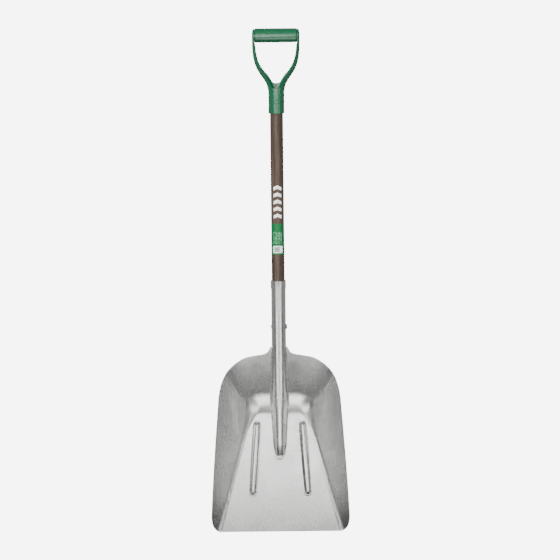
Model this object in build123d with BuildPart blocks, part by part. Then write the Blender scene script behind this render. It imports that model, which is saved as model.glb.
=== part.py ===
"""Grain scoop shovel: a pressed aluminium pan on a wooden shaft with a steel and plastic D-grip.

The shovel is upright. It is drawn with Z up the shaft's own axis, the pan's open side facing
-Y and the lip of the pan on Z = 0, and is moved down at the end so that its origin is where
it hangs: the middle of the bar's underside. All sizes are in millimetres.
"""
from build123d import *
import os
from math import cos, radians, sin, tan

os.makedirs("parts", exist_ok=True)

# ---- Driving dimensions -------------------------------------------------------------------

# Shaft
shaft_radius = 16.0
shaft_top = 1076.0
shaft_toe = 214.0
toe_taper_height = 345.0      # below this the shaft tapers to its toe
toe_radius = 12.4
shaft_chamfer = 2.0
fit_gap = 0.1                 # play around the shaft in each socket

# Pan: a flat floor that leans back from the shaft, two side walls and a back wall
lift_angle = 20.0             # between the floor and the shaft
lip_reach = 72.0              # how far the lip stands in front of the shaft's axis
sheet = 1.8                   # aluminium sheet
floor_half_lip = 152.6        # half the floor's width at the lip
floor_narrowing = 15.0        # each side crease turns in by this angle
floor_length = 320.0          # lip to the foot of the back wall
side_angle = 46.0             # side wall above the floor
back_angle = 38.0             # back wall above the floor
corner_radius = 48.0          # between side and back walls
bend_radius = 18.0            # along the foot of the walls
form_depth = 112.0            # the walls are pressed this deep, then trimmed
lip_overrun = 60.0            # the pressing runs past the lip before trimming

# Trimmed outline, seen from the front
lip_half = 141.0
heel_half, heel_height = 159.4, 7.0
widest_half, widest_height = 170.4, 55.0
shoulder_half, shoulder_height = 151.6, 322.0
hip_half, hip_height = 121.0, 400.0
crown_half, crown_height = 76.0, 427.0
neck_half, neck_height = 40.0, 433.0
collar_height = 453.0

# Central ridge and rolled socket
socket_radius = shaft_radius + fit_gap + sheet
ridge_nose = 172.0
ridge_draft = 6.0             # the ridge's flanks open towards the back
ridge_nose_radius = 11.4      # inside radius of the ridge at its nose
ridge_nose_round = 9.0        # rounding between the nose and the ridge's top
ridge_depth = 70.0            # far enough back to pass through the floor
ridge_overlap = 20.0          # the ridge runs this far up into the socket
ridge_thinning = 0.1
frog_top = 415.0              # above this the sheet closes round the shaft
socket_top = 615.5
socket_swage = 20.0           # the thickened mouth
swage_extra = 1.1
seam_gap = 1.2                # open seam at the socket's back
mouth_round = 0.9

# Stiffening beads in the floor
bead_top_u, bead_top_v = 56.5, 266.0
bead_foot_u, bead_foot_v = 68.0, 101.0
bead_width, bead_rise, bead_slope = 19.0, 4.6, 50.0

# Socket rivet, crosswise
rivet_height = 500.0
rivet_radius = 3.0
rivet_head_radius, rivet_head_rise = 6.0, 3.0
rivet_tail_radius, rivet_tail_rise = 5.0, 1.3

# D-grip: a pressed yoke with a ferrule, a cross bar and its pin
ferrule_bottom = 1025.0
ferrule_radius = 19.6
ferrule_top = 1078.5
yoke_wall = 2.6
crotch_front, crotch_back = 1085.0, 1098.0
strap_top = 1212.0
socket_clearance = 4.0        # between the shaft's end and the yoke's crotch
bar_height = 1214.0
bar_radius = 17.4
bar_end_round = 1.2
grip_half_width = 58.3
ear_thickness = 7.0
ear_radius = 16.4
edge_half_width = grip_half_width - ear_thickness
bar_core_radius = 5.0
yoke_rivet_height = 1053.0
yoke_rivet_radius = 2.5
yoke_rivet_head, yoke_rivet_rise = 4.5, 1.6

# Label and printed marks on the shaft's front
label_bottom, label_top = 680.0, 756.0
label_thickness = 0.25
label_half_angle = 64.0
mark_bottom, mark_top = 764.0, 850.0
mark_count = 5
mark_half_angle = 36.0
mark_bar, mark_rise = 8.0, 9.0
mark_reach = 20.0             # the chevrons are drawn wider than the film they are cut from

# Working sizes
cut_reach = 200.0             # cuts and trimmed blanks run well past the piece
edge_fraction = 0.9           # how much of a rivet head's rise is rounded off

# ---- Planes -------------------------------------------------------------------------------

tilt_sin, tilt_cos = sin(radians(lift_angle)), cos(radians(lift_angle))
pan_plane = Plane(origin=(0, -lip_reach, 0), x_dir=(1, 0, 0), z_dir=(0, -tilt_cos, tilt_sin))
front_plane = Plane(origin=(0, 0, 0), x_dir=(1, 0, 0), z_dir=(0, -1, 0))


# ---- Scoop blade --------------------------------------------------------------------------

def pan_section(height, grow):
    """Corners of the pan's inside form at a height above the floor, grown outwards."""
    turn = radians(floor_narrowing)
    side_run = height / tan(radians(side_angle)) + grow / sin(radians(side_angle))
    back_run = height / tan(radians(back_angle)) + grow / sin(radians(back_angle))
    back = floor_length + back_run
    front = -lip_overrun
    reach = floor_half_lip * cos(turn) + side_run
    back_half = (reach - back * sin(turn)) / cos(turn)
    front_half = (reach - front * sin(turn)) / cos(turn)
    return [(-front_half, front), (front_half, front), (back_half, back), (-back_half, back)]


def pan_form(grow):
    """The pan as a solid: the inside form when grow is 0, the outside when it is the sheet."""
    with BuildPart() as form:
        for height in (-grow, form_depth):
            with BuildSketch(pan_plane.offset(height)):
                with BuildLine():
                    Polyline(*pan_section(height, grow), close=True)
                make_face()
        loft(ruled=True)
        corners = form.edges().sort_by(lambda edge: pan_plane.to_local_coords(edge.center()).Y)
        slanted = [
            edge
            for edge in corners
            if abs(pan_plane.to_local_coords(edge @ 1).Z - pan_plane.to_local_coords(edge @ 0).Z) > 1
        ]
        fillet(slanted[-2:], corner_radius + grow)
        floor_face = form.faces().sort_by(Axis(pan_plane.origin, pan_plane.z_dir))[0]
        front_edge = floor_face.edges().sort_by(Axis(pan_plane.origin, pan_plane.y_dir))[0]
        foot = [edge for edge in floor_face.edges() if (edge.center() - front_edge.center()).length > 1]
        fillet(foot, bend_radius + grow)
    return form.part


def ridge_form(grow, bottom, top):
    """The arched ridge over the shaft's tapered toe, open towards the back."""
    draft = radians(ridge_draft)
    full_radius = shaft_radius + fit_gap + grow
    with BuildPart() as ridge:
        for height, radius in (
            (bottom, ridge_nose_radius + grow),
            (toe_taper_height, full_radius),
        ):
            edge_x, edge_y = radius * cos(draft), -radius * sin(draft)
            foot_x = edge_x + (ridge_depth - edge_y) * tan(draft)
            with BuildSketch(Plane.XY.offset(height)):
                with BuildLine():
                    ThreePointArc((-edge_x, edge_y), (0, -radius), (edge_x, edge_y))
                    Polyline(
                        (edge_x, edge_y),
                        (foot_x, ridge_depth),
                        (-foot_x, ridge_depth),
                        (-edge_x, edge_y),
                    )
                make_face()
        loft(ruled=True)
        extrude(ridge.faces().sort_by(Axis.Z)[-1], amount=top - toe_taper_height)
        nose_edges = [
            edge
            for edge in ridge.faces().sort_by(Axis.Z)[0].edges()
            if edge.center().Y < ridge_depth - 1
        ]
        fillet(nose_edges, ridge_nose_round - sheet + grow)
    return ridge.part


with BuildPart() as outline:
    with BuildSketch(front_plane):
        with BuildLine():
            Line((0, 0), (lip_half, 0))
            Spline(
                (lip_half, 0),
                (heel_half, heel_height),
                (widest_half, widest_height),
                tangents=((1, 0.06), (-0.05, 1)),
            )
            Line((widest_half, widest_height), (shoulder_half, shoulder_height))
            Spline(
                (shoulder_half, shoulder_height),
                (hip_half, hip_height),
                (crown_half, crown_height),
                tangents=((-0.07, 1), (-1, 0.16)),
            )
            Line((crown_half, crown_height), (neck_half, neck_height))
            Spline(
                (neck_half, neck_height),
                (socket_radius, collar_height),
                tangents=((-1, 0.16), (-0.2, 1)),
            )
            Polyline((socket_radius, collar_height), (0, collar_height), (0, 0))
        make_face()
        mirror(about=Plane.YZ)
    extrude(amount=cut_reach, both=True)

pan_outside = pan_form(sheet)
pan_inside = pan_form(0)
# The ridge is stretched thinner than the socket, which also keeps their round faces apart
ridge_outside = ridge_form(sheet - ridge_thinning, ridge_nose, frog_top + ridge_overlap)
ridge_hollow = ridge_form(ridge_thinning, ridge_nose + sheet, frog_top)

with BuildPart() as ridge_shell:
    add(ridge_outside)
    add(pan_outside, mode=Mode.INTERSECT)

with BuildPart() as scoop_blade:
    add(pan_outside)
    add(pan_inside, mode=Mode.SUBTRACT)
    add(outline.part, mode=Mode.INTERSECT)
    # Stiffening beads, raised on the floor and hollow beneath
    bead_run = ((bead_top_u - bead_foot_u) ** 2 + (bead_top_v - bead_foot_v) ** 2) ** 0.5
    for side in (-1, 1):
        top_point = Vector(side * bead_top_u, bead_top_v)
        foot_point = Vector(side * bead_foot_u, bead_foot_v)
        middle = (top_point + foot_point) * 0.5
        lean = Vector(0, 1, 0).get_signed_angle(top_point - foot_point)
        with BuildSketch(pan_plane.offset(-sheet / 2)):
            with Locations((middle.X, middle.Y)):
                SlotCenterToCenter(bead_run, bead_width, rotation=90 + lean)
        extrude(amount=bead_rise + sheet / 2, taper=bead_slope)
        with BuildSketch(pan_plane.offset(-sheet)):
            with Locations((middle.X, middle.Y)):
                SlotCenterToCenter(bead_run, bead_width - sheet, rotation=90 + lean)
        extrude(amount=bead_rise, taper=bead_slope, mode=Mode.SUBTRACT)
    # Ridge, rolled socket and its swaged mouth
    add(ridge_shell.part)
    with BuildSketch(Plane.XY.offset(frog_top)):
        Circle(socket_radius)
    extrude(amount=socket_top - frog_top)
    with BuildSketch(Plane.XY.offset(socket_top - socket_swage)):
        Circle(socket_radius + swage_extra)
    extrude(amount=socket_swage)
    fillet(scoop_blade.faces().sort_by(Axis.Z)[-1].edges(), mouth_round)
    add(ridge_hollow, mode=Mode.SUBTRACT)
    with BuildSketch(Plane.XY.offset(frog_top - 1)):
        Circle(shaft_radius + fit_gap)
    extrude(amount=cut_reach + socket_top - frog_top, mode=Mode.SUBTRACT)
    # Open seam down the socket's back, and the rivet's hole
    with BuildSketch(Plane.XY.offset(frog_top - 1)):
        with Locations((0, socket_radius)):
            Rectangle(seam_gap, 4 * sheet)
    extrude(amount=cut_reach + socket_top - frog_top, mode=Mode.SUBTRACT)
    with BuildSketch(Plane.YZ):
        with Locations((0, rivet_height)):
            Circle(rivet_radius)
    extrude(amount=cut_reach, both=True, mode=Mode.SUBTRACT)
scoop_blade.part.label = "scoop_blade"

# ---- Shaft --------------------------------------------------------------------------------

with BuildPart() as shaft:
    for height, radius in ((shaft_toe, toe_radius), (toe_taper_height, shaft_radius)):
        with BuildSketch(Plane.XY.offset(height)):
            Circle(radius)
    loft()
    extrude(shaft.faces().sort_by(Axis.Z)[-1], amount=shaft_top - toe_taper_height)
    chamfer(shaft.faces().sort_by(Axis.Z)[-1].edges(), shaft_chamfer)
    # The toe is cut off flush with the pan's underside
    with BuildSketch(pan_plane.offset(-sheet)):
        Rectangle(cut_reach, 2 * shaft_top)
    extrude(amount=-cut_reach, mode=Mode.SUBTRACT)
    with BuildSketch(Plane.YZ):
        with Locations((0, rivet_height)):
            Circle(rivet_radius)
    extrude(amount=cut_reach, both=True, mode=Mode.SUBTRACT)
    with BuildSketch(Plane.XZ):
        with Locations((0, yoke_rivet_height)):
            Circle(yoke_rivet_radius)
    extrude(amount=cut_reach, both=True, mode=Mode.SUBTRACT)
shaft.part.label = "shaft"

# ---- Rivets -------------------------------------------------------------------------------

with BuildPart() as socket_rivet:
    # Round head on the right, hammered tail on the left, both dressed onto the round socket
    for side, size, rise in (
        (1, rivet_head_radius, rivet_head_rise),
        (-1, rivet_tail_radius, rivet_tail_rise),
    ):
        with BuildSketch(Plane.YZ):
            with Locations((0, rivet_height)):
                Circle(size)
        extrude(amount=side * (socket_radius + rise))
        end_face = socket_rivet.faces().sort_by(Axis.X)[-1 if side > 0 else 0]
        fillet(end_face.edges(), rise * edge_fraction)
    with BuildSketch(Plane.XY.offset(rivet_height - 20)):
        Circle(socket_radius)
    extrude(amount=40, mode=Mode.SUBTRACT)
    with BuildSketch(Plane.YZ):
        with Locations((0, rivet_height)):
            Circle(rivet_radius)
    extrude(amount=socket_radius + 0.5, both=True)
socket_rivet.part.label = "socket_rivet"

with BuildPart() as yoke_rivet:
    with BuildSketch(Plane.XZ):
        with Locations((0, yoke_rivet_height)):
            Circle(yoke_rivet_head)
    extrude(amount=ferrule_radius + yoke_rivet_rise, both=True)
    fillet(yoke_rivet.edges().filter_by(GeomType.CIRCLE), yoke_rivet_rise * edge_fraction)
    with BuildSketch(Plane.XY.offset(yoke_rivet_height - 20)):
        Circle(ferrule_radius)
    extrude(amount=40, mode=Mode.SUBTRACT)
    with BuildSketch(Plane.XZ):
        with Locations((0, yoke_rivet_height)):
            Circle(yoke_rivet_radius)
    extrude(amount=ferrule_radius + 0.5, both=True)
yoke_rivet.part.label = "yoke_rivet"

# ---- D-grip yoke --------------------------------------------------------------------------

def yoke_form(shrink, top):
    """The yoke's body: a round ferrule that flattens into two straps, shrunk by a thickness."""
    sections = (
        (1078.0, 19.6, 19.5),
        (1092.0, 22.4, 19.4),
        (1106.0, 29.2, 18.8),
        (1120.0, 39.0, 17.8),
        (1134.0, 47.2, 16.8),
        (1152.0, 53.6, 15.8),
        (1168.0, 56.6, 15.2),
        (1184.0, 57.9, 14.8),
        (1198.0, 58.2, 14.6),
        (top, 58.2, 14.6),
    )
    with BuildPart() as form:
        for height, half_width, half_depth in sections:
            with BuildSketch(Plane.XY.offset(height)):
                RectangleRounded(
                    2 * (half_width - shrink),
                    2 * (half_depth - shrink),
                    (half_depth - shrink) * 0.985,
                )
        loft()
    return form.part


def crotch_cut(lip, shoulder, direction):
    """The hand opening, cut through the front or the back wall of the yoke's body."""
    with BuildPart() as cut:
        with BuildSketch(front_plane):
            with BuildLine():
                Spline(
                    (0, lip),
                    *shoulder,
                    (46.6, 1160.0),
                    (50.0, 1178.0),
                    (edge_half_width, 1200.0),
                    tangents=((1, 0), (0.02, 1)),
                )
                Polyline(
                    (edge_half_width, 1200.0),
                    (edge_half_width, bar_height + cut_reach),
                    (0, bar_height + cut_reach),
                    (0, lip),
                )
            make_face()
            mirror(about=Plane.YZ)
        extrude(amount=direction * cut_reach)
    return cut.part


yoke_outside = yoke_form(0, strap_top)
yoke_inside = yoke_form(yoke_wall, strap_top)
front_cut = crotch_cut(crotch_front, ((6.6, 1088.5), (18.4, 1109.0), (35.0, 1134.5)), 1)
back_cut = crotch_cut(crotch_back, ((8.6, 1103.5), (19.4, 1118.0), (34.0, 1133.0)), -1)

with BuildPart() as grip_yoke:
    add(yoke_outside)
    add(yoke_inside, mode=Mode.SUBTRACT)
    with BuildSketch(Plane.XY.offset(ferrule_bottom)):
        Circle(ferrule_radius)
    extrude(amount=ferrule_top - ferrule_bottom)
    with BuildSketch(Plane.XY.offset(ferrule_bottom - 1)):
        Circle(shaft_radius + fit_gap)
    extrude(amount=shaft_top + socket_clearance - ferrule_bottom, mode=Mode.SUBTRACT)
    # Ears that take the bar's pin
    for side in (-1, 1):
        with BuildSketch(Plane.YZ.offset(side * (grip_half_width - ear_thickness))):
            with Locations((0, bar_height)):
                Circle(ear_radius)
        extrude(amount=side * ear_thickness)
    add(front_cut, mode=Mode.SUBTRACT)
    add(back_cut, mode=Mode.SUBTRACT)
    with BuildSketch(Plane.YZ):
        with Locations((0, bar_height)):
            Circle(bar_core_radius)
    extrude(amount=cut_reach, both=True, mode=Mode.SUBTRACT)
    with BuildSketch(Plane.XZ):
        with Locations((0, yoke_rivet_height)):
            Circle(yoke_rivet_radius)
    extrude(amount=cut_reach, both=True, mode=Mode.SUBTRACT)
grip_yoke.part.label = "grip_yoke"

# ---- Cross bar and its pin ----------------------------------------------------------------

with BuildPart() as grip_bar:
    with BuildSketch(Plane.YZ):
        with Locations((0, bar_height)):
            Circle(bar_radius)
            Circle(bar_core_radius, mode=Mode.SUBTRACT)
    extrude(amount=edge_half_width, both=True)
    rims = grip_bar.edges().filter_by(GeomType.CIRCLE).group_by(SortBy.RADIUS)[-1]
    fillet(rims, bar_end_round)
grip_bar.part.label = "grip_bar"

with BuildPart() as bar_pin:
    with BuildSketch(Plane.YZ):
        with Locations((0, bar_height)):
            Circle(bar_core_radius)
    extrude(amount=grip_half_width, both=True)
bar_pin.part.label = "bar_pin"

# ---- Label and printed marks --------------------------------------------------------------

def front_wrap(bottom, top, radius, thickness, half_angle):
    """A thin film wrapped round the front of the shaft."""
    reach = 3 * radius
    side_x, side_y = reach * sin(radians(half_angle)), -reach * cos(radians(half_angle))
    with BuildPart() as film:
        with BuildSketch(Plane.XY.offset(bottom)):
            Circle(radius + thickness)
            Circle(radius, mode=Mode.SUBTRACT)
            with BuildLine():
                Polyline((0, 0), (side_x, side_y), (0, -2 * reach), (-side_x, side_y), close=True)
            make_face(mode=Mode.INTERSECT)
        extrude(amount=top - bottom)
    return film.part


with BuildPart() as label_wrap:
    add(front_wrap(label_bottom, label_top, shaft_radius, label_thickness, label_half_angle))
label_wrap.part.label = "label_wrap"

mark_pitch = (mark_top - mark_bottom - mark_bar - mark_rise) / (mark_count - 1)
with BuildPart() as printed_marks:
    add(front_wrap(mark_bottom, mark_top, shaft_radius, label_thickness / 2, mark_half_angle))
    with BuildSketch(front_plane):
        for step in range(mark_count):
            foot = mark_bottom + step * mark_pitch
            with BuildLine():
                Polyline(
                    (-mark_reach, foot),
                    (0, foot + mark_rise),
                    (mark_reach, foot),
                    (mark_reach, foot + mark_bar),
                    (0, foot + mark_rise + mark_bar),
                    (-mark_reach, foot + mark_bar),
                    close=True,
                )
            make_face()
    extrude(amount=2 * mark_reach, mode=Mode.INTERSECT)
printed_marks.part.label = "printed_marks"

# ---- Output -------------------------------------------------------------------------------

pieces = (
    scoop_blade,
    shaft,
    socket_rivet,
    grip_yoke,
    grip_bar,
    bar_pin,
    yoke_rivet,
    label_wrap,
    printed_marks,
)
# The shovel hangs by its bar, so the finished frame has its origin on the bar's underside
for piece in pieces:
    placed = Pos(0, 0, bar_radius - bar_height) * piece.part
    placed.label = piece.part.label
    export_step(placed, f"parts/{placed.label}.step")
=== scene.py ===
"""Grain scoop shovel: a pressed aluminium pan and socket, a stained wooden shaft and a green D-grip.

The file is laid out as a Blender add-on and is run as a script. Sizes are in millimetres inside
the shaping functions, and each mesh is written in metres.
"""
from math import cos, pi, radians, sin, tan

import bmesh
import bpy
import numpy as np
from bpy.props import FloatProperty, FloatVectorProperty, IntProperty, PointerProperty
from mathutils import Matrix, Vector


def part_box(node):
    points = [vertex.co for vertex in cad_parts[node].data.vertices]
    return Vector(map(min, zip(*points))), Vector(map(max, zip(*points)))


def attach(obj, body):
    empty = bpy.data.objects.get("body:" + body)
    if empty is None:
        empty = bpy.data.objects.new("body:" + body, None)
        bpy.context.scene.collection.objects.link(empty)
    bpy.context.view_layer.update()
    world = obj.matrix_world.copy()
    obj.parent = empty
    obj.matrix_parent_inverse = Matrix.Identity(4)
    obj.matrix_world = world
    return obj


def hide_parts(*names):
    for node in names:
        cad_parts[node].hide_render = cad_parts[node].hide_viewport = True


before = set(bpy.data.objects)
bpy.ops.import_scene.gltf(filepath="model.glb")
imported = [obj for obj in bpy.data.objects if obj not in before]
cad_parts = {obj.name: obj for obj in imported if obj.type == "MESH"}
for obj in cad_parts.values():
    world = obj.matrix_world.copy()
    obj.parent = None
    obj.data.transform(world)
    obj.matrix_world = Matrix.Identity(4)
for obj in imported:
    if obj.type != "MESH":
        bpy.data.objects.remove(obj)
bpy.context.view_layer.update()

bl_info = {
    "name": "Grain Scoop Shovel",
    "version": (1, 0, 0),
    "blender": (4, 5, 0),
    "location": "View3D > Sidebar > Shovel",
    "description": "Builds the pan, socket, grip, label and finishes of a grain scoop shovel",
    "category": "Add Mesh",
}

MM = 0.001
ROOT = "root"


def shaping_origin():
    """Where the shaft's axis crosses the height of the lip: shaping works from this point."""
    low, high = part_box("shaft")
    return Vector((0.0, (low[1] + high[1]) / 2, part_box("scoop_blade")[0][2]))


ORIGIN = shaping_origin()


def node_box(name):
    """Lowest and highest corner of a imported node, in millimetres from the shaping origin."""
    low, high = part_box(name)
    return (np.array(low) - ORIGIN) / MM, (np.array(high) - ORIGIN) / MM


shaft_low, shaft_high = node_box("shaft")
SHAFT_R = (shaft_high[0] - shaft_low[0]) / 2
bar_low, bar_high = node_box("grip_bar")
SOCKET_TOP = node_box("scoop_blade")[1][2]
YOKE_FOOT = node_box("grip_yoke")[0][2]
LABEL_FOOT = node_box("label_wrap")[0][2]
BAR_Z = (bar_low[2] + bar_high[2]) / 2
BAR_R = (bar_high[2] - bar_low[2]) / 2


# ---- Small tools --------------------------------------------------------------------------

def linear(code):
    """An sRGB hex colour as linear red, green, blue and alpha."""
    parts = [int(code[i:i + 2], 16) / 255 for i in (0, 2, 4)]
    return tuple(c / 12.92 if c <= 0.04045 else ((c + 0.055) / 1.055) ** 2.4 for c in parts) + (1.0,)


def add_node(tree, kind, inputs=None, **settings):
    """Adds a node with its settings, and sets or links its inputs."""
    made = tree.nodes.new(kind)
    for name, value in settings.items():
        setattr(made, name, value)
    for socket, value in (inputs or {}).items():
        if isinstance(value, bpy.types.NodeSocket):
            tree.links.new(value, made.inputs[socket])
        else:
            made.inputs[socket].default_value = value
    return made


def new_material(name):
    """An empty node material with its output, ready for a shader."""
    material = bpy.data.materials.new(name)
    material.use_nodes = True
    material.node_tree.nodes.clear()
    return material, material.node_tree


def finish_material(tree, shader):
    """Joins a finished shader to the material's output."""
    add_node(tree, "ShaderNodeOutputMaterial", {"Surface": shader.outputs[0]})


def smoothstep(low, high, value):
    """0 below the low value, 1 above the high one, with a smooth change between."""
    t = np.clip((value - low) / (high - low), 0.0, 1.0)
    return t * t * (3 - 2 * t)


def smooth_through(knots, z):
    """A smooth curve without overshoot through knots of (height, value), held at its ends."""
    heights, values = np.array(knots).T
    rise = np.diff(values) / np.diff(heights)
    between = 2 * rise[:-1] * rise[1:] / (rise[:-1] + rise[1:])
    slopes = np.concatenate([rise[:1], between, rise[-1:]])
    z = np.clip(z, heights[0], heights[-1])
    k = np.clip(np.searchsorted(heights, z, side="right") - 1, 0, len(heights) - 2)
    span = heights[k + 1] - heights[k]
    t = (z - heights[k]) / span
    return (
        (2 * t**3 - 3 * t**2 + 1) * values[k] + (t**3 - 2 * t**2 + t) * span * slopes[k]
        + (3 * t**2 - 2 * t**3) * values[k + 1] + (t**3 - t**2) * span * slopes[k + 1]
    )


def mesh_object(bm, name, material):
    """Turns a bmesh in millimetres from the shaping origin into a finished object in the frame."""
    bm.transform(Matrix.Translation(ORIGIN) @ Matrix.Diagonal((MM, MM, MM, 1)))
    mesh = bpy.data.meshes.new(name)
    bm.to_mesh(mesh)
    bm.free()
    mesh.polygons.foreach_set("use_smooth", [True] * len(mesh.polygons))
    mesh.materials.append(material)
    piece = bpy.data.objects.new(name, mesh)
    bpy.context.scene.collection.objects.link(piece)
    return piece


def soften(piece, width, angle, segments=2):
    """A small rounding on every edge sharper than the angle."""
    edge = piece.modifiers.new("rounded_edge", "BEVEL")
    edge.width = width * MM
    edge.segments = segments
    edge.limit_method = "ANGLE"
    edge.angle_limit = radians(angle)
    edge.harden_normals = True


def dress_node(name, material):
    """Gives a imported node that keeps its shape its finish."""
    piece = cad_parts[name]
    piece.data.materials.clear()
    piece.data.materials.append(material)
    return piece


# ---- Pan ----------------------------------------------------------------------------------

LIFT = radians(20.0)             # floor against the shaft
LIP_REACH = 72.0                 # lip in front of the shaft's axis
SHEET = 1.8
FLOOR_HALF, NARROWING = 152.6, radians(15.0)
FLOOR_LENGTH = 320.0
SIDE_ANGLE, BACK_ANGLE = radians(46.0), radians(38.0)
FLOOR_BEND, FLOOR_BEND_REAR = 5.5, 15.5        # the bend's radius at the lip, and what it gains at the back
CORNER_BEND, CORNER_SPREAD = 15.0, 0.42        # gain in a rear corner, and per mm of height there
BACK_BEND, BACK_SPREAD = 18.5, 0.16
WALL_TOP = 120.0                               # above this height the bends widen no more
OPEN_AIR, BEHIND_METAL = -260.0, 140.0         # where the search for the pan's face starts and ends
RIDGE_R = 17.75
RIDGE_FILLET = 3.4
RIDGE_DRAFT = radians(6.0)
NOSE_Z, NOSE_ROUND = 165.0, 9.0
RIDGE_KNOTS = (
    # height, outer radius of the ridge, which slims towards its nose as the shaft's toe does
    (160.0, 7.4), (172.0, 9.5), (184.0, 11.5), (194.0, 13.0), (206.0, 14.2), (262.0, 15.4),
    (285.0, 16.6), (306.0, 17.6), (335.0, RIDGE_R),
)
BEAD_TOP, BEAD_FOOT = (56.5, 266.0), (68.0, 101.0)
BEAD_RISE, BEAD_HALF, BEAD_SWELL = 4.6, 11.6, 1.6
WRINKLE_HEART = (84.0, 294.0)
DENT_PLACE = (-129.0, 82.0)
RIM_KNOTS = (
    # half width, height, and the direction in which the trimmed edge runs there
    (148.0, 0.75, 1.0, 0.06),
    (159.2, 8.0, 0.66, 0.78),
    (168.2, 55.0, -0.05, 1.0),
    (149.7, 322.0, -0.08, 1.0),
    (119.4, 400.0, -0.74, 0.68),
    (76.0, 425.5, -1.0, 0.20),
    (42.0, 431.0, -1.0, 0.20),
    (28.5, 437.0, -0.62, 0.70),
    (23.2, 446.5, -0.30, 1.0),
    (18.0, 452.5, -0.85, 0.50),
)


def pan_coordinates(y, z):
    """Distance up the floor and height above it."""
    return (y + LIP_REACH) * sin(LIFT) + z * cos(LIFT), z * sin(LIFT) - (y + LIP_REACH) * cos(LIFT)


def solve_depth(gap, near, far):
    """Where gap(y) changes sign between near, which is open air, and far, which is metal."""
    near, far = np.array(near, float), np.array(far, float)
    for _ in range(34):
        middle = (near + far) / 2
        inside = gap(middle) > 0
        far = np.where(inside, middle, far)
        near = np.where(inside, near, middle)
    return (near + far) / 2


def pan_depth(x, z):
    """The pan's open face: floor, side walls and back wall, with bends that widen to the back."""
    width = np.abs(x)

    def gap(y):
        v, w = pan_coordinates(y, z)
        high = np.clip(w, 0, WALL_TOP)
        rear = smoothstep(215.0, 330.0, v)
        corner = smoothstep(250.0, 325.0, v)
        floor_round = FLOOR_BEND + FLOOR_BEND_REAR * rear
        side_round = FLOOR_BEND + (CORNER_BEND + CORNER_SPREAD * high) * corner
        back_round = BACK_BEND + BACK_SPREAD * high
        side = (FLOOR_HALF * cos(NARROWING) + w / tan(SIDE_ANGLE)
                - width * cos(NARROWING) - v * sin(NARROWING)) * sin(SIDE_ANGLE)
        back = (FLOOR_LENGTH + w / tan(BACK_ANGLE) - v) * sin(BACK_ANGLE)
        total = np.clip(1 - w / floor_round, 0, None) ** 2
        total += np.clip(1 - side / side_round, 0, None) ** 2
        total += np.clip(1 - back / back_round, 0, None) ** 2
        return total - 1

    depth = solve_depth(gap, np.full_like(z, OPEN_AIR), np.full_like(z, BEHIND_METAL))
    v, w = pan_coordinates(depth, z)
    return depth - bead_rise(width, v) / cos(LIFT) - press_marks(x, z)


def bead_rise(width, v):
    """Height of the two stiffening beads, widest at their middle and round at both ends."""
    top, foot = np.array(BEAD_TOP), np.array(BEAD_FOOT)
    run = top - foot
    along = np.clip(((width - foot[0]) * run[0] + (v - foot[1]) * run[1]) / run.dot(run), 0, 1)
    away = np.hypot(width - foot[0] - along * run[0], v - foot[1] - along * run[1])
    half = BEAD_HALF + BEAD_SWELL * np.sin(pi * along)
    return BEAD_RISE * (0.5 + 0.5 * np.cos(pi * np.clip(away / half, 0, 1))) ** 1.1


def press_marks(x, z):
    """Shallow fan wrinkles in the two upper corners, slow waves in the sheet and one small dent."""
    across, up = np.abs(x) - WRINKLE_HEART[0], z - WRINKLE_HEART[1]
    angle = np.arctan2(up, across)
    reach = np.hypot(up, across)
    fan = smoothstep(24.0, 56.0, reach) * smoothstep(0.42, 0.62, angle)
    fan *= 1 - smoothstep(1.15, 1.35, angle)
    ripple = np.sin(44.0 * angle + 1.3 * np.sign(x)) + 0.6 * np.sin(71.0 * angle + 0.05 * reach)
    slow = np.sin(x * 0.031 + 1.0) * np.sin(z * 0.024) + 0.5 * np.sin(x * 0.013 - z * 0.041)
    dent = np.exp(-((x - DENT_PLACE[0]) ** 2 + (z - DENT_PLACE[1]) ** 2) / 14.0)
    return 0.26 * fan * ripple + 0.04 * slow - 0.7 * dent


def blade_depth(x, z):
    """The whole front face: the pan with the arched ridge standing out of its middle."""
    pan = pan_depth(x, z)
    width = np.abs(x)
    radius = smooth_through(RIDGE_KNOTS, z)

    def outside_ridge(y):
        along = width * sin(RIDGE_DRAFT) + y * cos(RIDGE_DRAFT)
        flank = width * cos(RIDGE_DRAFT) - y * sin(RIDGE_DRAFT) - radius
        away = np.where(along < 0, np.hypot(width, y) - radius, flank)
        below = np.clip(NOSE_Z + NOSE_ROUND - z, 0, None)
        return np.hypot(np.clip(away + NOSE_ROUND, 0, None), below) - NOSE_ROUND

    def gap(y):
        total = np.clip(1 - (pan - y) * 0.94 / RIDGE_FILLET, 0, None) ** 2
        total += np.clip(1 - outside_ridge(y) / RIDGE_FILLET, 0, None) ** 2
        return total - 1

    return solve_depth(gap, np.full_like(z, OPEN_AIR), pan + 0.5)


def rim_curve(count):
    """Points along the trimmed edge, from the lip's corner to the socket, evenly spaced."""
    line = []
    for a, b in zip(RIM_KNOTS, RIM_KNOTS[1:]):
        start, end = np.array(a[:2]), np.array(b[:2])
        chord = np.hypot(*(end - start))
        leave, arrive = np.array(a[2:]), np.array(b[2:])
        leave, arrive = leave / np.hypot(*leave) * chord, arrive / np.hypot(*arrive) * chord
        t = np.linspace(0, 1, 60, endpoint=False)[:, None]
        line.append(
            (2 * t**3 - 3 * t**2 + 1) * start + (t**3 - 2 * t**2 + t) * leave
            + (3 * t**2 - 2 * t**3) * end + (t**3 - t**2) * arrive
        )
    line = np.vstack(line + [np.array([RIM_KNOTS[-1][:2]])])
    run = np.concatenate([[0], np.cumsum(np.hypot(*np.diff(line, axis=0).T))])
    even = np.linspace(0, run[-1], count)
    return np.column_stack([np.interp(even, run, line[:, 0]), np.interp(even, run, line[:, 1])])


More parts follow.
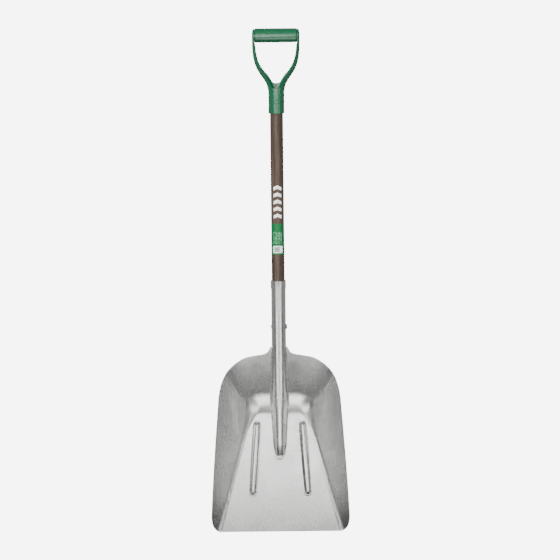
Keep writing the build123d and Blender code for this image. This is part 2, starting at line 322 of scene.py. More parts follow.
def blade_rows(rows, columns):
    """Front-view places of the right half's grid: straight rows from the middle to the rim."""
    rim = rim_curve(rows)
    # Rows run level up to the joint height, and above it they fan round to the neck
    joint_height, top_height = 245.0, 449.0
    lower = rows // 2 + 40
    run = np.concatenate([[0], np.cumsum(np.hypot(*np.diff(rim, axis=0).T))])
    start = np.interp(joint_height, rim[:lower, 1], run[:lower])
    share = np.clip((run - start) / (run[-1] - start), 0, 1)
    middle = np.where(run < start, rim[:, 1], joint_height + (top_height - joint_height) * share)
    fine = np.linspace(0, 1, 900)
    x = rim[:, :1] * fine
    z = middle[:, None] + (rim[:, 1] - middle)[:, None] * fine
    y = np.stack([blade_depth(x[j], z[j]) for j in range(rows)])
    step = np.sqrt(np.diff(x) ** 2 + np.diff(y) ** 2 + np.diff(z) ** 2)
    slope = np.arctan2(np.diff(y), np.hypot(np.diff(x), np.diff(z)) + 1e-9)
    turn = np.abs(np.diff(slope, axis=1, prepend=slope[:, :1]))
    effort = step + 16.0 * turn + 0.0006
    total = np.concatenate([np.zeros((rows, 1)), np.cumsum(effort, axis=1)], axis=1)
    even = np.linspace(0, 1, columns + 1)
    place = np.stack([np.interp(even * total[j, -1], total[j], fine) for j in range(rows)])
    padded = np.pad(place, ((4, 4), (0, 0)), mode="edge")
    place = sum(padded[k:k + rows] for k in range(9)) / 9
    return rim[:, :1] * place, middle[:, None] + (rim[:, 1] - middle)[:, None] * place


def build_blade(settings, material):
    """The pan and ridge: a fine grid laid on the front face, thickened backwards to the sheet."""
    rows, columns = settings.rows, settings.columns
    half_x, half_z = blade_rows(rows, columns)
    x = np.concatenate([-half_x[:, :0:-1], half_x], axis=1)
    z = np.concatenate([half_z[:, :0:-1], half_z], axis=1)
    y = blade_depth(x, z)
    bm = bmesh.new()
    bmesh.ops.create_grid(bm, x_segments=2 * columns, y_segments=rows - 1, size=1)
    for vert in bm.verts:
        column = round((vert.co.x + 1) * columns)
        row = round((vert.co.y + 1) / 2 * (rows - 1))
        vert.co = (x[row, column], y[row, column], z[row, column])
    piece = mesh_object(bm, "pressed_blade", material)
    shell = piece.modifiers.new("sheet", "SOLIDIFY")
    shell.thickness = SHEET * MM
    shell.offset = -1
    shell.use_even_offset = True
    edge = piece.modifiers.new("deburred_edge", "BEVEL")
    edge.width = 0.45 * MM
    edge.segments = 2
    edge.limit_method = "ANGLE"
    edge.angle_limit = radians(60)
    return piece


# ---- Socket -------------------------------------------------------------------------------

def build_socket(settings, material):
    """The rolled tube above the pan: a wall profile spun round the shaft, open at the back seam."""
    bm = bmesh.new()
    inner, outer = SHAFT_R + 0.15, RIDGE_R + 0.06
    mouth = outer + 1.05
    foot = 428.0
    profile = (
        (inner, foot), (outer - 0.35, foot), (outer, foot + 13.0), (outer, SOCKET_TOP - 24.0),
        (mouth - 0.15, SOCKET_TOP - 18.5), (mouth, SOCKET_TOP - 15.0), (mouth, SOCKET_TOP - 1.6),
        (mouth - 1.1, SOCKET_TOP - 0.2), (inner + 0.5, SOCKET_TOP - 0.2), (inner, SOCKET_TOP - 1.4),
    )
    seam = radians(2.0)
    turn = Matrix.Rotation(pi / 2 + seam, 3, "Z")
    corners = [bm.verts.new(turn @ Vector((r, 0, z))) for r, z in profile]
    wall = bm.faces.new(corners)
    bmesh.ops.spin(
        bm, geom=[wall], cent=(0, 0, 0), axis=(0, 0, 1), dvec=(0, 0, 0),
        angle=2 * pi - 2 * seam, steps=settings.around, use_duplicate=False,
    )
    bmesh.ops.recalc_face_normals(bm, faces=bm.faces)
    piece = mesh_object(bm, "rolled_socket", material)
    soften(piece, 0.35, 35)
    return piece


# ---- D-grip -------------------------------------------------------------------------------

YOKE_WALL = 3.3
FERRULE_R = 19.5
CROTCH_FRONT, CROTCH_BACK = 1085.0, 1098.0
EAR_R, EAR_DEPTH = 16.2, 10.8
EAR_START, EAR_FULL = 1186.0, 1205.0
PIN_HEAD_R, PIN_HEAD_RISE, PIN_HEAD_FACE = 6.6, 0.62, 57.6
YOKE_OUTLINE = (
    # height, half width, half depth of the pressed form before the opening is cut
    (1078.0, 19.5, 19.5),
    (1092.0, 22.3, 19.3),
    (1106.0, 29.2, 18.7),
    (1120.0, 39.0, 17.7),
    (1134.0, 47.2, 16.7),
    (1152.0, 53.6, 15.7),
    (1168.0, 56.4, 15.1),
    (1184.0, 57.7, 14.7),
    (1198.0, 58.0, 14.5),
)
# Height and half width of the opening between the straps, at the front and at the back
FRONT_EDGE = ((1085.0, 0.0), (1085.5, 5.2), (1087.2, 9.4), (1093.0, 13.2), (1106.5, 19.4),
              (1122.0, 29.0), (1134.0, 36.8), (1148.0, 43.2), (1162.0, 47.4), (1178.0, 50.6),
              (1198.0, 51.6))
BACK_EDGE = ((1098.0, 0.0), (1098.8, 5.4), (1101.0, 9.4), (1108.0, 13.8), (1118.0, 19.8),
             (1133.0, 33.6), (1148.0, 42.6), (1162.0, 47.2), (1178.0, 50.4), (1198.0, 51.6))
SPREAD_START = YOKE_OUTLINE[0][0]
EAR_RIM = 51.7                   # the ears are cups whose rims meet the bar's ends


def yoke_section(z, columns):
    """Half a section of the yoke at one height, from its front edge round the outside to its back."""
    half = smooth_through([k[:2] for k in YOKE_OUTLINE], z) if z > SPREAD_START else FERRULE_R
    depth = smooth_through([(k[0], k[2]) for k in YOKE_OUTLINE], z) if z > SPREAD_START else FERRULE_R
    front = float(smooth_through(FRONT_EDGE, z)) if z > CROTCH_FRONT else 0.0
    back = float(smooth_through(BACK_EDGE, z)) if z > CROTCH_BACK else 0.0
    flat = half - depth
    fine = np.linspace(-pi / 2, pi / 2, 181)
    x = np.concatenate([[0.0], flat + depth * np.cos(fine), [0.0]])
    y = np.concatenate([[-depth], depth * np.sin(fine), [depth]])
    run = np.concatenate([[0], np.cumsum(np.hypot(np.diff(x), np.diff(y)))])
    middle = len(x) // 2
    start = np.interp(front, x[:middle + 1], run[:middle + 1])
    end = np.interp(-back, -x[middle:], run[middle:])
    places = np.linspace(start, end, columns)
    section = np.column_stack([np.interp(places, run, x), np.interp(places, run, y)])
    ear = smoothstep(EAR_START, EAR_FULL, z)
    if ear > 0:
        disc = np.sqrt(max(EAR_R**2 - (z - BAR_Z) ** 2, 0.0))
        strap = np.abs(section[:, 1]).max() * (1 - ear) + EAR_DEPTH * ear
        reach = max(strap if z < BAR_Z else 0.0, disc)
        turn = np.linspace(-pi / 2, pi / 2, columns)
        round_share = disc / EAR_R if z > BAR_Z else 1.0
        cup_x = EAR_RIM + (half - EAR_RIM) * (np.cos(turn) * round_share) ** 0.45
        section[:, 1] = section[:, 1] * (1 - ear) + reach * np.sin(turn) * ear
        section[:, 0] = section[:, 0] * (1 - ear) + cup_x * ear
    return section


def build_yoke(material):
    """The pressed yoke: a grid for one half, from the ferrule up to the ear, mirrored and thickened."""
    columns = 41
    ear_top = BAR_Z + EAR_R - 0.25
    heights = np.concatenate([
        np.linspace(YOKE_FOOT + 0.3, 1076.0, 10),
        np.linspace(SPREAD_START, CROTCH_FRONT - 0.1, 5),
        CROTCH_FRONT + np.linspace(0.05, 1, 14) ** 2 * 12.9,
        CROTCH_BACK + np.linspace(0.05, 1, 14) ** 2 * 14.0,
        np.linspace(1114.0, 1200.0, 44),
        BAR_Z + EAR_R * np.sin(np.linspace(-0.8, 1.0, 22) * pi / 2 * 0.985),
    ])
    heights = np.unique(np.clip(heights, None, ear_top).round(3))
    sections = [yoke_section(z, columns) for z in heights]
    bm = bmesh.new()
    bmesh.ops.create_grid(bm, x_segments=columns - 1, y_segments=len(heights) - 1, size=1)
    for vert in bm.verts:
        column = round((vert.co.x + 1) / 2 * (columns - 1))
        row = round((vert.co.y + 1) / 2 * (len(heights) - 1))
        x, y = sections[row][column]
        vert.co = (max(x, 0.0), y, heights[row])
    bmesh.ops.mirror(bm, geom=bm.verts[:] + bm.edges[:] + bm.faces[:], axis="X", merge_dist=0.02)
    bmesh.ops.remove_doubles(bm, verts=bm.verts, dist=0.02)
    bmesh.ops.recalc_face_normals(bm, faces=bm.faces)
    outward = sum(
        face.normal.y * face.calc_area() * face.calc_center_median().y for face in bm.faces)
    if outward < 0:
        bmesh.ops.reverse_faces(bm, faces=bm.faces)
    piece = mesh_object(bm, "pressed_yoke", material)
    wall = piece.modifiers.new("wall", "SOLIDIFY")
    wall.thickness = YOKE_WALL * MM
    wall.offset = -1
    wall.use_even_offset = False
    soften(piece, 0.95, 50, 3)
    return piece


def spun(bm, profile, steps):
    """Spins an open profile of (radius, place) once round the bar's own axis."""
    verts = [bm.verts.new((place, 0, BAR_Z + radius)) for radius, place in profile]
    edges = [bm.edges.new(pair) for pair in zip(verts, verts[1:])]
    bmesh.ops.spin(
        bm, geom=verts + edges, cent=(0, 0, BAR_Z), axis=(1, 0, 0), dvec=(0, 0, 0),
        angle=2 * pi, steps=steps, use_merge=True, use_duplicate=False,
    )
    bmesh.ops.remove_doubles(bm, verts=bm.verts, dist=0.001)
    bmesh.ops.holes_fill(bm, edges=[edge for edge in bm.edges if edge.is_boundary], sides=0)
    bmesh.ops.recalc_face_normals(bm, faces=bm.faces)


def build_bar(settings, material):
    """The moulded bar, slightly fuller in its middle, with rounded ends against the ears."""
    half = EAR_RIM - 0.2
    corner, swell = 2.3, 0.3
    angles = [k / 5 * pi / 2 for k in range(1, 6)]
    rounded = [(BAR_R - swell - corner * (1 - sin(a)), corner * (1 - cos(a))) for a in angles]
    profile = [(1.0, -half), (BAR_R - swell - corner, -half)]
    profile += [(radius, -half + inset) for radius, inset in rounded]
    for k in range(1, 12):
        place = -half + corner + 2 * (half - corner) * k / 12
        profile.append((BAR_R - swell * (place / half) ** 2, place))
    profile += [(radius, half - inset) for radius, inset in reversed(rounded)]
    profile += [(BAR_R - swell - corner, half), (1.0, half)]
    bm = bmesh.new()
    spun(bm, profile, settings.around)
    return mesh_object(bm, "moulded_bar", material)


def build_pin_heads(material):
    """The peened ends of the pin, low domes that stand a little way out of each ear."""
    bm = bmesh.new()
    for side in (-1, 1):
        face, axis_gap, shank = side * PIN_HEAD_FACE, 0.01, side * 3.0
        profile = [(axis_gap, face + side * PIN_HEAD_RISE)]
        for k in range(1, 8):
            angle = k / 7 * pi / 2
            profile.append((PIN_HEAD_R * sin(angle), face + side * PIN_HEAD_RISE * cos(angle)))
        profile += [(PIN_HEAD_R, face - shank), (axis_gap, face - shank)]
        part = bmesh.new()
        spun(part, profile, 40)
        mesh = bpy.data.meshes.new("pin_head")
        part.to_mesh(mesh)
        part.free()
        bm.from_mesh(mesh)
        bpy.data.meshes.remove(mesh)
    return mesh_object(bm, "pin_heads", material)


# ---- Finishes -----------------------------------------------------------------------------

def noise(tree, place, scale, **inputs):
    """Cloudy noise; the scale is in patches per metre."""
    return add_node(tree, "ShaderNodeTexNoise", {"Vector": place, "Scale": scale, **inputs})


def bump(tree, texture, strength, height):
    """Relief from a texture's first output, with its height in millimetres."""
    return add_node(tree, "ShaderNodeBump", {
        "Height": texture.outputs[0], "Strength": strength, "Distance": height * MM})


def maths(tree, operation, first, second=None):
    """The result of one sum; either value may be a socket or a number."""
    values = {0: first} if second is None else {0: first, 1: second}
    return add_node(tree, "ShaderNodeMath", values, operation=operation).outputs[0]


def pressed_aluminium(settings):
    """Mill-finish sheet, rolled and then pressed: a pale satin metal with faint upright drawing
    streaks, cloudy patches of dullness, and fine scratches from handling."""
    material, tree = new_material("pressed_mill_aluminium")
    place = add_node(tree, "ShaderNodeTexCoord").outputs["Object"]
    # Rolling marks about 0.8 mm wide are drawn at about 3 mm, so that they show
    along = add_node(tree, "ShaderNodeMapping", {"Vector": place, "Scale": (300.0, 300.0, 7.0)})
    streaks = noise(tree, along.outputs[0], 1.0, Detail=1.0)
    clouds = noise(tree, place, 14.0, Detail=4.0, Roughness=0.6)
    dull = add_node(tree, "ShaderNodeMapRange", {
        "Value": clouds.outputs[0], "From Min": 0.3, "From Max": 0.7,
        "To Min": settings.metal_roughness - 0.05, "To Max": settings.metal_roughness + 0.07})
    tint = add_node(tree, "ShaderNodeMapRange", {
        "Value": streaks.outputs[0], "From Min": 0.3, "From Max": 0.7, "To Min": 0.0, "To Max": 1.0})
    colour = add_node(tree, "ShaderNodeMix", {
        "Factor": tint.outputs[0], "A": linear("CFCFCD"), "B": linear("DCDCDA")}, data_type="RGBA")
    relief = bump(tree, streaks, 0.04, 0.4)
    shader = add_node(tree, "ShaderNodeBsdfPrincipled", {
        "Base Color": colour.outputs[2], "Metallic": 1.0, "Roughness": dull.outputs[0],
        "Normal": relief.outputs[0]})
    finish_material(tree, shader)
    return material


def stained_wood(settings):
    """Turned hardwood, stained dark and oiled: brown-grey with long fine grain and a low sheen."""
    material, tree = new_material("stained_turned_hardwood")
    place = add_node(tree, "ShaderNodeTexCoord").outputs["Object"]
    # Pores 0.3 mm wide and 20 mm long are drawn 1.4 mm wide and 38 mm long, so that they show
    fibre = add_node(tree, "ShaderNodeMapping", {"Vector": place, "Scale": (700.0, 700.0, 26.0)})
    pores = noise(tree, fibre.outputs[0], 1.0, Detail=4.0, Roughness=0.65)
    ring = add_node(tree, "ShaderNodeMapping", {"Vector": place, "Scale": (90.0, 90.0, 3.2)})
    bands = noise(tree, ring.outputs[0], 1.0, Detail=2.0, Distortion=0.6)
    mixed = maths(tree, "ADD", pores.outputs[0], bands.outputs[0])
    share = add_node(tree, "ShaderNodeMapRange", {
        "Value": mixed, "From Min": 0.78, "From Max": 1.22})
    colour = add_node(tree, "ShaderNodeMix", {
        "Factor": share.outputs[0], "A": (*settings.stain_dark, 1.0), "B": (*settings.stain_light, 1.0)},
        data_type="RGBA")
    relief = bump(tree, pores, 0.35, 0.3)
    shader = add_node(tree, "ShaderNodeBsdfPrincipled", {
        "Base Color": colour.outputs[2], "Roughness": 0.62, "Specular IOR Level": 0.3,
        "Normal": relief.outputs[0]})
    finish_material(tree, shader)
    return material


def green_gloss(name, settings, roughness, coat, waviness):
    """A glossy green surface: enamel over pressed steel, or moulded plastic, with soft highlights."""
    material, tree = new_material(name)
    place = add_node(tree, "ShaderNodeTexCoord").outputs["Object"]
    flow = noise(tree, place, 70.0, Detail=2.0)
    scuff = noise(tree, place, 240.0, Detail=5.0, Roughness=0.7)
    dull = add_node(tree, "ShaderNodeMapRange", {
        "Value": scuff.outputs[0], "From Min": 0.35, "From Max": 0.75,
        "To Min": roughness, "To Max": roughness + 0.12})
    shade = add_node(tree, "ShaderNodeMix", {
        "Factor": flow.outputs[0], "A": (*[c * 0.86 for c in settings.green], 1.0),
        "B": (*[c * 1.12 for c in settings.green], 1.0)}, data_type="RGBA")
    relief = bump(tree, flow, waviness, 0.6)
    shader = add_node(tree, "ShaderNodeBsdfPrincipled", {
        "Base Color": shade.outputs[2], "Roughness": dull.outputs[0], "IOR": 1.5,
        "Coat Weight": coat, "Coat Roughness": 0.12, "Normal": relief.outputs[0]})
    finish_material(tree, shader)
    return material


def hammered_steel():
    """Rivet steel, headed cold and left bare: dark grey, dull, with small hammer flats."""
    material, tree = new_material("cold_headed_steel")
    place = add_node(tree, "ShaderNodeTexCoord").outputs["Object"]
    flats = add_node(tree, "ShaderNodeTexVoronoi", {"Vector": place, "Scale": 520.0})
    relief = bump(tree, flats, 0.4, 0.4)
    tone = add_node(tree, "ShaderNodeMix", {
        "Factor": flats.outputs[0], "A": linear("6E6E70"), "B": linear("8A8A8B")}, data_type="RGBA")
    shader = add_node(tree, "ShaderNodeBsdfPrincipled", {
        "Base Color": tone.outputs[2], "Metallic": 1.0, "Roughness": 0.42,
        "Normal": relief.outputs[0]})
    finish_material(tree, shader)
    return material


def band(tree, value, low, high):
    """1 where a value lies between two limits, 0 elsewhere."""
    above = maths(tree, "GREATER_THAN", value, low)
    below = maths(tree, "LESS_THAN", value, high)
    return maths(tree, "MULTIPLY", above, below)


def block(tree, up, across, heights, sides):
    """1 inside a rectangle of the label; heights and sides are in metres."""
    return maths(tree, "MULTIPLY", band(tree, up, *heights), band(tree, across, *sides))


def stripes(tree, value, pitch, share):
    """Even stripes with a pitch in metres; a lower share makes them wider."""
    wave = maths(tree, "SINE", maths(tree, "MULTIPLY", value, 2 * pi / pitch))
    return maths(tree, "GREATER_THAN", wave, share)


def printed_film(settings):
    """Printed plastic film, stuck on and varnished: green, with a block of plain pale rules
    where a label has its small print, and a white panel of plain bars below them."""
    material, tree = new_material("printed_label_film")
    place = add_node(tree, "ShaderNodeTexCoord").outputs["Object"]
    axes = add_node(tree, "ShaderNodeSeparateXYZ", {"Vector": place})
    across, up = axes.outputs["X"], axes.outputs["Z"]
    foot = LABEL_FOOT * MM + ORIGIN.z
    rules = stripes(tree, across, 0.0036, 0.35)
    # Breaks every 1.6 mm along the rules make them read as lines of small print
    broken = add_node(tree, "ShaderNodeMapping", {"Vector": place, "Scale": (278.0, 0.0, 620.0)})
    cells = add_node(tree, "ShaderNodeVectorMath", {0: broken.outputs[0]}, operation="FLOOR")
    breaks = add_node(tree, "ShaderNodeTexWhiteNoise", {"Vector": cells.outputs[0]})
    words = maths(tree, "GREATER_THAN", breaks.outputs[0], 0.40)
    in_rules = block(tree, up, across, (foot + 0.027, foot + 0.056), (-0.0105, 0.0095))
    print_mask = maths(tree, "MULTIPLY", maths(tree, "MULTIPLY", rules, in_rules), words)
    panel = block(tree, up, across, (foot + 0.004, foot + 0.0215), (-0.0112, 0.0112))
    in_panel = block(tree, up, across, (foot + 0.0065, foot + 0.019), (-0.0085, 0.0045))
    bar_mask = maths(tree, "MULTIPLY", stripes(tree, up, 0.0021, -0.6), in_panel)
    colour = (*settings.label_green, 1.0)
    for mask, ink in ((print_mask, "79B395"), (panel, "E9EEEA"), (bar_mask, "2C4A3C")):
        colour = add_node(tree, "ShaderNodeMix", {
            "Factor": mask, "A": colour, "B": linear(ink)}, data_type="RGBA").outputs[2]
    shader = add_node(tree, "ShaderNodeBsdfPrincipled", {
        "Base Color": colour, "Roughness": 0.40, "Specular IOR Level": 0.35})
    finish_material(tree, shader)
    return material


def white_ink():
    """Screen-printed ink on wood: flat white, worn thin along the grain."""
    material, tree = new_material("screen_printed_ink")
    place = add_node(tree, "ShaderNodeTexCoord").outputs["Object"]
    fibre = add_node(tree, "ShaderNodeMapping", {"Vector": place, "Scale": (900.0, 900.0, 60.0)})
    worn = noise(tree, fibre.outputs[0], 1.0, Detail=3.0)
    share = add_node(tree, "ShaderNodeMapRange", {
        "Value": worn.outputs[0], "From Min": 0.60, "From Max": 0.80})
    colour = add_node(tree, "ShaderNodeMix", {
        "Factor": share.outputs[0], "A": linear("F4F3EF"), "B": linear("B9B3AC")}, data_type="RGBA")
    shader = add_node(tree, "ShaderNodeBsdfPrincipled", {"Base Color": colour.outputs[2], "Roughness": 0.6})
    finish_material(tree, shader)
    return material


def glowing_floor(settings):
    """Opal acrylic sweep lit from below: an even, shadowless white."""
    material, tree = new_material("backlit_opal_acrylic")
    shader = add_node(tree, "ShaderNodeEmission", {
        "Color": linear("FFFFFF"), "Strength": settings.floor_glow})
    finish_material(tree, shader)
    return material


def lit_cloth(name, axis, stops, level):
    """Studio cloth with light on it, seen only in reflections: its tone runs along one axis."""
    material, tree = new_material(name)
    place = add_node(tree, "ShaderNodeTexCoord").outputs["Object"]
    if axis == "azimuth":
        place = add_node(tree, "ShaderNodeVectorMath", {0: place}, operation="NORMALIZE").outputs[0]
    value = add_node(tree, "ShaderNodeSeparateXYZ", {"Vector": place}).outputs["Y"]
    tone = maths(tree, "MULTIPLY", tone_curve(tree, value, stops), level)
    glow = add_node(tree, "ShaderNodeEmission", {"Color": linear("FFFFFF"), "Strength": tone})
    finish_material(tree, glow)
    return material


def tone_curve(tree, value, stops):
    """Straight-line tone between (value, tone) stops."""
    total = None
    for (low, first), (high, second) in zip(stops, stops[1:]):
        part = add_node(tree, "ShaderNodeMapRange", {
            "Value": value, "From Min": low, "From Max": high, "To Min": 0.0, "To Max": second - first})
        total = maths(tree, "ADD", first if total is None else total, part.outputs[0])
    return total


# ---- Stage --------------------------------------------------------------------------------

FAR = 3000.0
EVEN = ((-FAR, 1.0), (FAR, 1.0))
# Tone of the cloth on the ground near the lip, by place from front to back
NEAR_TONES = ((-0.54, 0.85), (-0.42, 0.34), (-0.28, 0.06))
# Tone of the cloth further out, by the front-to-back share of the direction to it
FAR_TONES = ((-1.0, 0.40), (-0.93, 0.34), (-0.78, 0.17), (-0.5, 0.13), (-0.15, 0.36), (1.0, 0.36))
# Tone of the room by the sine of the elevation, in front and elsewhere
FRONT_TONES = ((0.02, 0.80), (0.06, 0.80), (0.11, 0.10), (0.40, 0.10), (1.0, 0.30))
SIDE_TONES = ((0.0, 0.65), (0.2, 0.25), (1.0, 0.30))


def stage_mesh(name, bm, material):
    """Adds a piece of the stage, which isn't part of the shovel."""
    mesh = bpy.data.meshes.new(name)
    bm.to_mesh(mesh)
    bm.free()
    mesh.materials.append(material)
    piece = bpy.data.objects.new(name, mesh)
    bpy.context.scene.collection.objects.link(piece)
    return piece


def only_reflected(piece):
    """Leaves a piece to be seen in reflections alone."""
    piece.visible_camera = False
    piece.visible_diffuse = False
    piece.visible_shadow = False
    piece.visible_transmission = False


def card(name, corners, stops, axis="y", level=1.0):
    """A four-cornered cloth or panel round the shovel, seen only in its reflections."""
    bm = bmesh.new()
    bm.faces.new([bm.verts.new(ORIGIN + Vector(corner)) for corner in corners])
    only_reflected(stage_mesh(name, bm, lit_cloth(name + "_cloth", axis, stops, level)))


def build_floor(settings):
    """A white floor that sweeps up in the distance; reflections see the grey cloths on it instead."""
    bm = bmesh.new()
    bmesh.ops.create_circle(bm, cap_ends=True, segments=96, radius=50.0)
    rim = [edge for edge in bm.edges if edge.is_boundary]
    raised = bmesh.ops.extrude_edge_only(bm, edges=rim)["geom"]
    far = [item for item in raised if isinstance(item, bmesh.types.BMVert)]
    bmesh.ops.scale(bm, verts=far, vec=(60, 60, 1))
    bmesh.ops.translate(bm, verts=far, vec=(0, 0, 2000.0))
    bm.transform(Matrix.Translation((0, 0, ORIGIN.z - 0.0005)))
    floor = stage_mesh("floor", bm, glowing_floor(settings))
    floor.visible_diffuse = False
    floor.visible_glossy = False
    floor.visible_shadow = False


def build_cards(settings):
    """The cloths and panels; each stands where one part of the metal or enamel mirrors it."""
    ground = ((-FAR, -FAR, 0), (FAR, -FAR, 0), (FAR, FAR, 0), (-FAR, FAR, 0))
    card("grey_ground", ground, FAR_TONES, "azimuth")
    card("near_ground", flat_card(0.60, -0.56, -0.04, 0.001), NEAR_TONES)
    strip = ((-0.28, -0.56, 0.001), (0.28, -0.56, 0.001), (0.34, -1.7, 0.001), (-0.34, -1.7, 0.001))
    card("bright_strip", strip, EVEN, level=settings.strip_light)
    panels = (
        # name, one foot, other foot, lowest and highest edge, radiance
        ("front_panel", (-0.90, -1.60), (0.90, -1.60), 0.87, 1.85, settings.panel_light),
        ("bar_panel", (-0.22, -0.50), (0.06, -0.50), 1.09, 1.17, settings.bar_light),
        ("left_panel", (-0.95, -1.28), (-0.65, -1.44), 0.60, 0.98, settings.side_light),
        ("right_panel", (1.00, -1.22), (1.20, -1.05), 0.60, 0.98, settings.side_light),
        ("low_panel", (-0.43, -1.55), (-1.15, -1.30), 0.02, 0.31, settings.strip_light),
        ("low_panel", (0.43, -1.55), (1.15, -1.30), 0.02, 0.31, settings.strip_light),
    )
    for name, start, end, low, high, level in panels:
        card(name, upright_card(start, end, low, high), EVEN, level=level)


def flat_card(half, front, rear, height):
    """Corners of a level card, from its half width and its front and rear edges."""
    return ((-half, front, height), (half, front, height), (half, rear, height), (-half, rear, height))


def upright_card(start, end, low, high):
    """Corners of an upright card between two points on the ground plan."""
    return ((*start, low), (*end, low), (*end, high), (*start, high))


def build_world(settings):
    """The dim room round the stage, pale along the horizon and darker above it."""
    world = bpy.data.worlds.new("light_tent")
    bpy.context.scene.world = world
    world.use_nodes = True
    tree = world.node_tree
    tree.nodes.clear()
    direction = add_node(tree, "ShaderNodeTexCoord").outputs["Generated"]
    axes = add_node(tree, "ShaderNodeSeparateXYZ", {"Vector": direction})
    facing = add_node(tree, "ShaderNodeMapRange", {
        "Value": axes.outputs["Y"], "From Min": -0.60, "From Max": -0.20,
        "To Min": 1.0, "To Max": 0.0}, interpolation_type="SMOOTHSTEP")
    strength = add_node(tree, "ShaderNodeMix", {
        "Factor": facing.outputs[0], "A": tone_curve(tree, axes.outputs["Z"], SIDE_TONES),
        "B": tone_curve(tree, axes.outputs["Z"], FRONT_TONES)}, data_type="FLOAT")
    level = maths(tree, "MULTIPLY", strength.outputs[0], settings.tent_light)
    background = add_node(tree, "ShaderNodeBackground", {
        "Color": (1.0, 1.0, 1.0, 1.0), "Strength": level})
    add_node(tree, "ShaderNodeOutputWorld", {"Surface": background.outputs[0]})


def soft_light(name, direction, strength):
    """A wide soft light along a direction; glints are left to the panels."""
    data = bpy.data.lights.new(name, "SUN")
    data.energy = strength
    data.angle = radians(70)
    light = bpy.data.objects.new(name, data)
    bpy.context.scene.collection.objects.link(light)
    light.rotation_euler = Vector(direction).to_track_quat("-Z", "Y").to_euler()
    light.visible_glossy = False


def build_camera(settings):
    """A long lens a little above the horizon, straight in front of the shovel."""
    data = bpy.data.cameras.new("camera")
    data.sensor_width = 36.0
    reach = settings.camera_distance
    data.lens = data.sensor_width * reach / settings.frame_height
    data.clip_end = 20000.0
    camera = bpy.data.objects.new("camera", data)
    bpy.context.scene.collection.objects.link(camera)
    target = Vector((settings.aim_x, ORIGIN.y, ORIGIN.z + settings.aim_height))
    tilt = settings.camera_elevation
    camera.location = target + reach * Vector((0, -cos(tilt), sin(tilt)))
    aim = (target - camera.location).to_track_quat("-Z", "Y").to_matrix()
    camera.rotation_euler = (aim @ Matrix.Rotation(settings.camera_roll, 3, "Z")).to_euler()
    bpy.context.scene.camera = camera


# ---- Settings -----------------------------------------------------------------------------

class BladeSettings(bpy.types.PropertyGroup):
    rows: IntProperty(name="Rows", description="Grid rows up the pan", default=210, min=40)
    columns: IntProperty(name="Columns", description="Grid columns on each half", default=104, min=20)
    around: IntProperty(name="Around", description="Steps round the socket", default=72, min=16)
    metal_roughness: FloatProperty(
        name="Metal roughness", description="How dull the pressed sheet is", default=0.25, min=0, max=1)


class HandleSettings(bpy.types.PropertyGroup):
    around: IntProperty(name="Around", description="Steps round the bar", default=72, min=16)
    green: FloatVectorProperty(
        name="Grip green", description="Enamel and plastic colour", subtype="COLOR",
        default=linear("094E31")[:3], min=0, max=1)
    label_green: FloatVectorProperty(
        name="Label green", description="Printed film colour", subtype="COLOR",
        default=linear("005A2C")[:3], min=0, max=1)
    stain_dark: FloatVectorProperty(
        name="Dark stain", description="Wood stain in the pores", subtype="COLOR",
        default=linear("30271F")[:3], min=0, max=1)
    stain_light: FloatVectorProperty(
        name="Light stain", description="Wood stain between the pores", subtype="COLOR",
        default=linear("4E4037")[:3], min=0, max=1)


class StageSettings(bpy.types.PropertyGroup):
    camera_elevation: FloatProperty(
        name="Elevation", description="Camera above the horizon", default=radians(7), subtype="ANGLE")
    camera_roll: FloatProperty(
        name="Roll", description="Camera turn about its own axis", default=radians(-0.60), subtype="ANGLE")
    camera_distance: FloatProperty(
        name="Distance", description="Camera to its aim point", default=5.5, unit="LENGTH")
    frame_height: FloatProperty(
        name="Frame", description="Height seen at the aim point", default=1.3776, unit="LENGTH")
    aim_height: FloatProperty(
        name="Aim height", description="Aim point above the lip", default=0.6156, unit="LENGTH")
    aim_x: FloatProperty(name="Aim side", description="Aim point across", default=0.0043, unit="LENGTH")
    tent_light: FloatProperty(name="Room light", description="Level of the room's light", default=1.0)
    floor_glow: FloatProperty(name="Floor glow", description="Radiance of the floor", default=7.0)
    key_light: FloatProperty(name="Key light", description="Strength of the soft key", default=7.0)
    strip_light: FloatProperty(name="Strip", description="Radiance of the ground strip", default=4.0)
    panel_light: FloatProperty(name="Panel", description="Radiance of the front panel", default=3.5)
    bar_light: FloatProperty(name="Bar panel", description="Radiance of the bar's panel", default=16.0)
    side_light: FloatProperty(name="Side panels", description="Radiance of the side panels", default=6.0)


def rides(piece, slot, *replaced):
    """Ties a piece to the shovel's one body and hides the nodes it stands for; the slot argument is not
    used.
    """
    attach(piece, ROOT)
    if replaced:
        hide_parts(*replaced)


# ---- Operators ----------------------------------------------------------------------------

class SHOVEL_OT_blade(bpy.types.Operator):
    """Press the pan with its ridge and beads, and roll its socket"""
    bl_idname = "shovel.blade"
    bl_label = "Pressed blade"

    def execute(self, context):
        settings = context.scene.shovel_blade
        metal = pressed_aluminium(settings)
        rides(build_blade(settings, metal), "blade_aluminium", "scoop_blade")
        rides(build_socket(settings, metal), "blade_aluminium", "scoop_blade")
        return {"FINISHED"}


class SHOVEL_OT_grip(bpy.types.Operator):
    """Form the D-grip's yoke, its bar and the heads of the bar's pin"""
    bl_idname = "shovel.grip"
    bl_label = "D-grip"

    def execute(self, context):
        settings = context.scene.shovel_handle
        enamel = green_gloss("green_enamel_on_steel", settings, 0.22, 0.2, 0.2)
        plastic = green_gloss("moulded_green_plastic", settings, 0.26, 0.25, 0.12)
        rides(build_yoke(enamel), "yoke_paint", "grip_yoke")
        rides(build_bar(settings, plastic), "bar_plastic", "grip_bar")
        rides(build_pin_heads(enamel), "pin_steel", "bar_pin")
        dress_node("yoke_rivet", enamel)
        return {"FINISHED"}


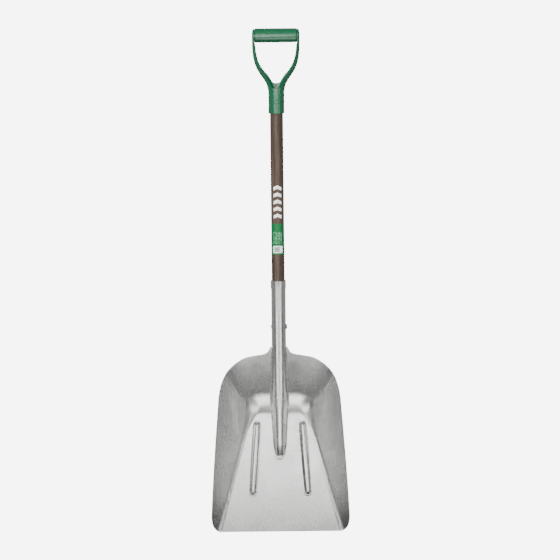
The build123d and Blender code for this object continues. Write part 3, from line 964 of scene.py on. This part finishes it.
class SHOVEL_OT_shaft(bpy.types.Operator):
    """Finish the shaft, its label and printed marks, and the socket's rivet"""
    bl_idname = "shovel.shaft"
    bl_label = "Shaft and label"

    def execute(self, context):
        settings = context.scene.shovel_handle
        dress_node("shaft", stained_wood(settings))
        dress_node("label_wrap", printed_film(settings))
        dress_node("printed_marks", white_ink())
        dress_node("socket_rivet", hammered_steel())
        return {"FINISHED"}


class SHOVEL_OT_stage(bpy.types.Operator):
    """Set the floor, the cloths and panels, the soft lights and the camera"""
    bl_idname = "shovel.stage"
    bl_label = "Stage"

    def execute(self, context):
        settings = context.scene.shovel_stage
        build_floor(settings)
        build_cards(settings)
        soft_light("soft_key", (0.3, 1.0, -0.55), settings.key_light)
        soft_light("rear_fill", (-0.5, -1.0, -0.5), settings.key_light / 2)
        build_world(settings)
        build_camera(settings)
        return {"FINISHED"}


class SHOVEL_PT_panel(bpy.types.Panel):
    """The shovel's pieces and settings"""
    bl_idname = "SHOVEL_PT_panel"
    bl_label = "Grain scoop shovel"
    bl_space_type = "VIEW_3D"
    bl_region_type = "UI"
    bl_category = "Shovel"

    def draw(self, context):
        for operator in OPERATORS:
            self.layout.operator(operator.bl_idname)
        scene = context.scene
        for group in (scene.shovel_blade, scene.shovel_handle, scene.shovel_stage):
            for name in group.__annotations__:
                self.layout.prop(group, name)


GROUPS = (BladeSettings, HandleSettings, StageSettings)
OPERATORS = (SHOVEL_OT_blade, SHOVEL_OT_grip, SHOVEL_OT_shaft, SHOVEL_OT_stage)


def register():
    """Adds the classes and the settings."""
    for cls in (*GROUPS, *OPERATORS, SHOVEL_PT_panel):
        bpy.utils.register_class(cls)
    bpy.types.Scene.shovel_blade = PointerProperty(type=BladeSettings)
    bpy.types.Scene.shovel_handle = PointerProperty(type=HandleSettings)
    bpy.types.Scene.shovel_stage = PointerProperty(type=StageSettings)


def unregister():
    """Takes away the settings and the classes."""
    del bpy.types.Scene.shovel_stage
    del bpy.types.Scene.shovel_handle
    del bpy.types.Scene.shovel_blade
    for cls in reversed((*GROUPS, *OPERATORS, SHOVEL_PT_panel)):
        bpy.utils.unregister_class(cls)


def main():
    """Builds the shovel and its stage."""
    register()
    bpy.ops.shovel.blade()
    bpy.ops.shovel.shaft()
    bpy.ops.shovel.grip()
    bpy.ops.shovel.stage()


if __name__ == "__main__":
    main()
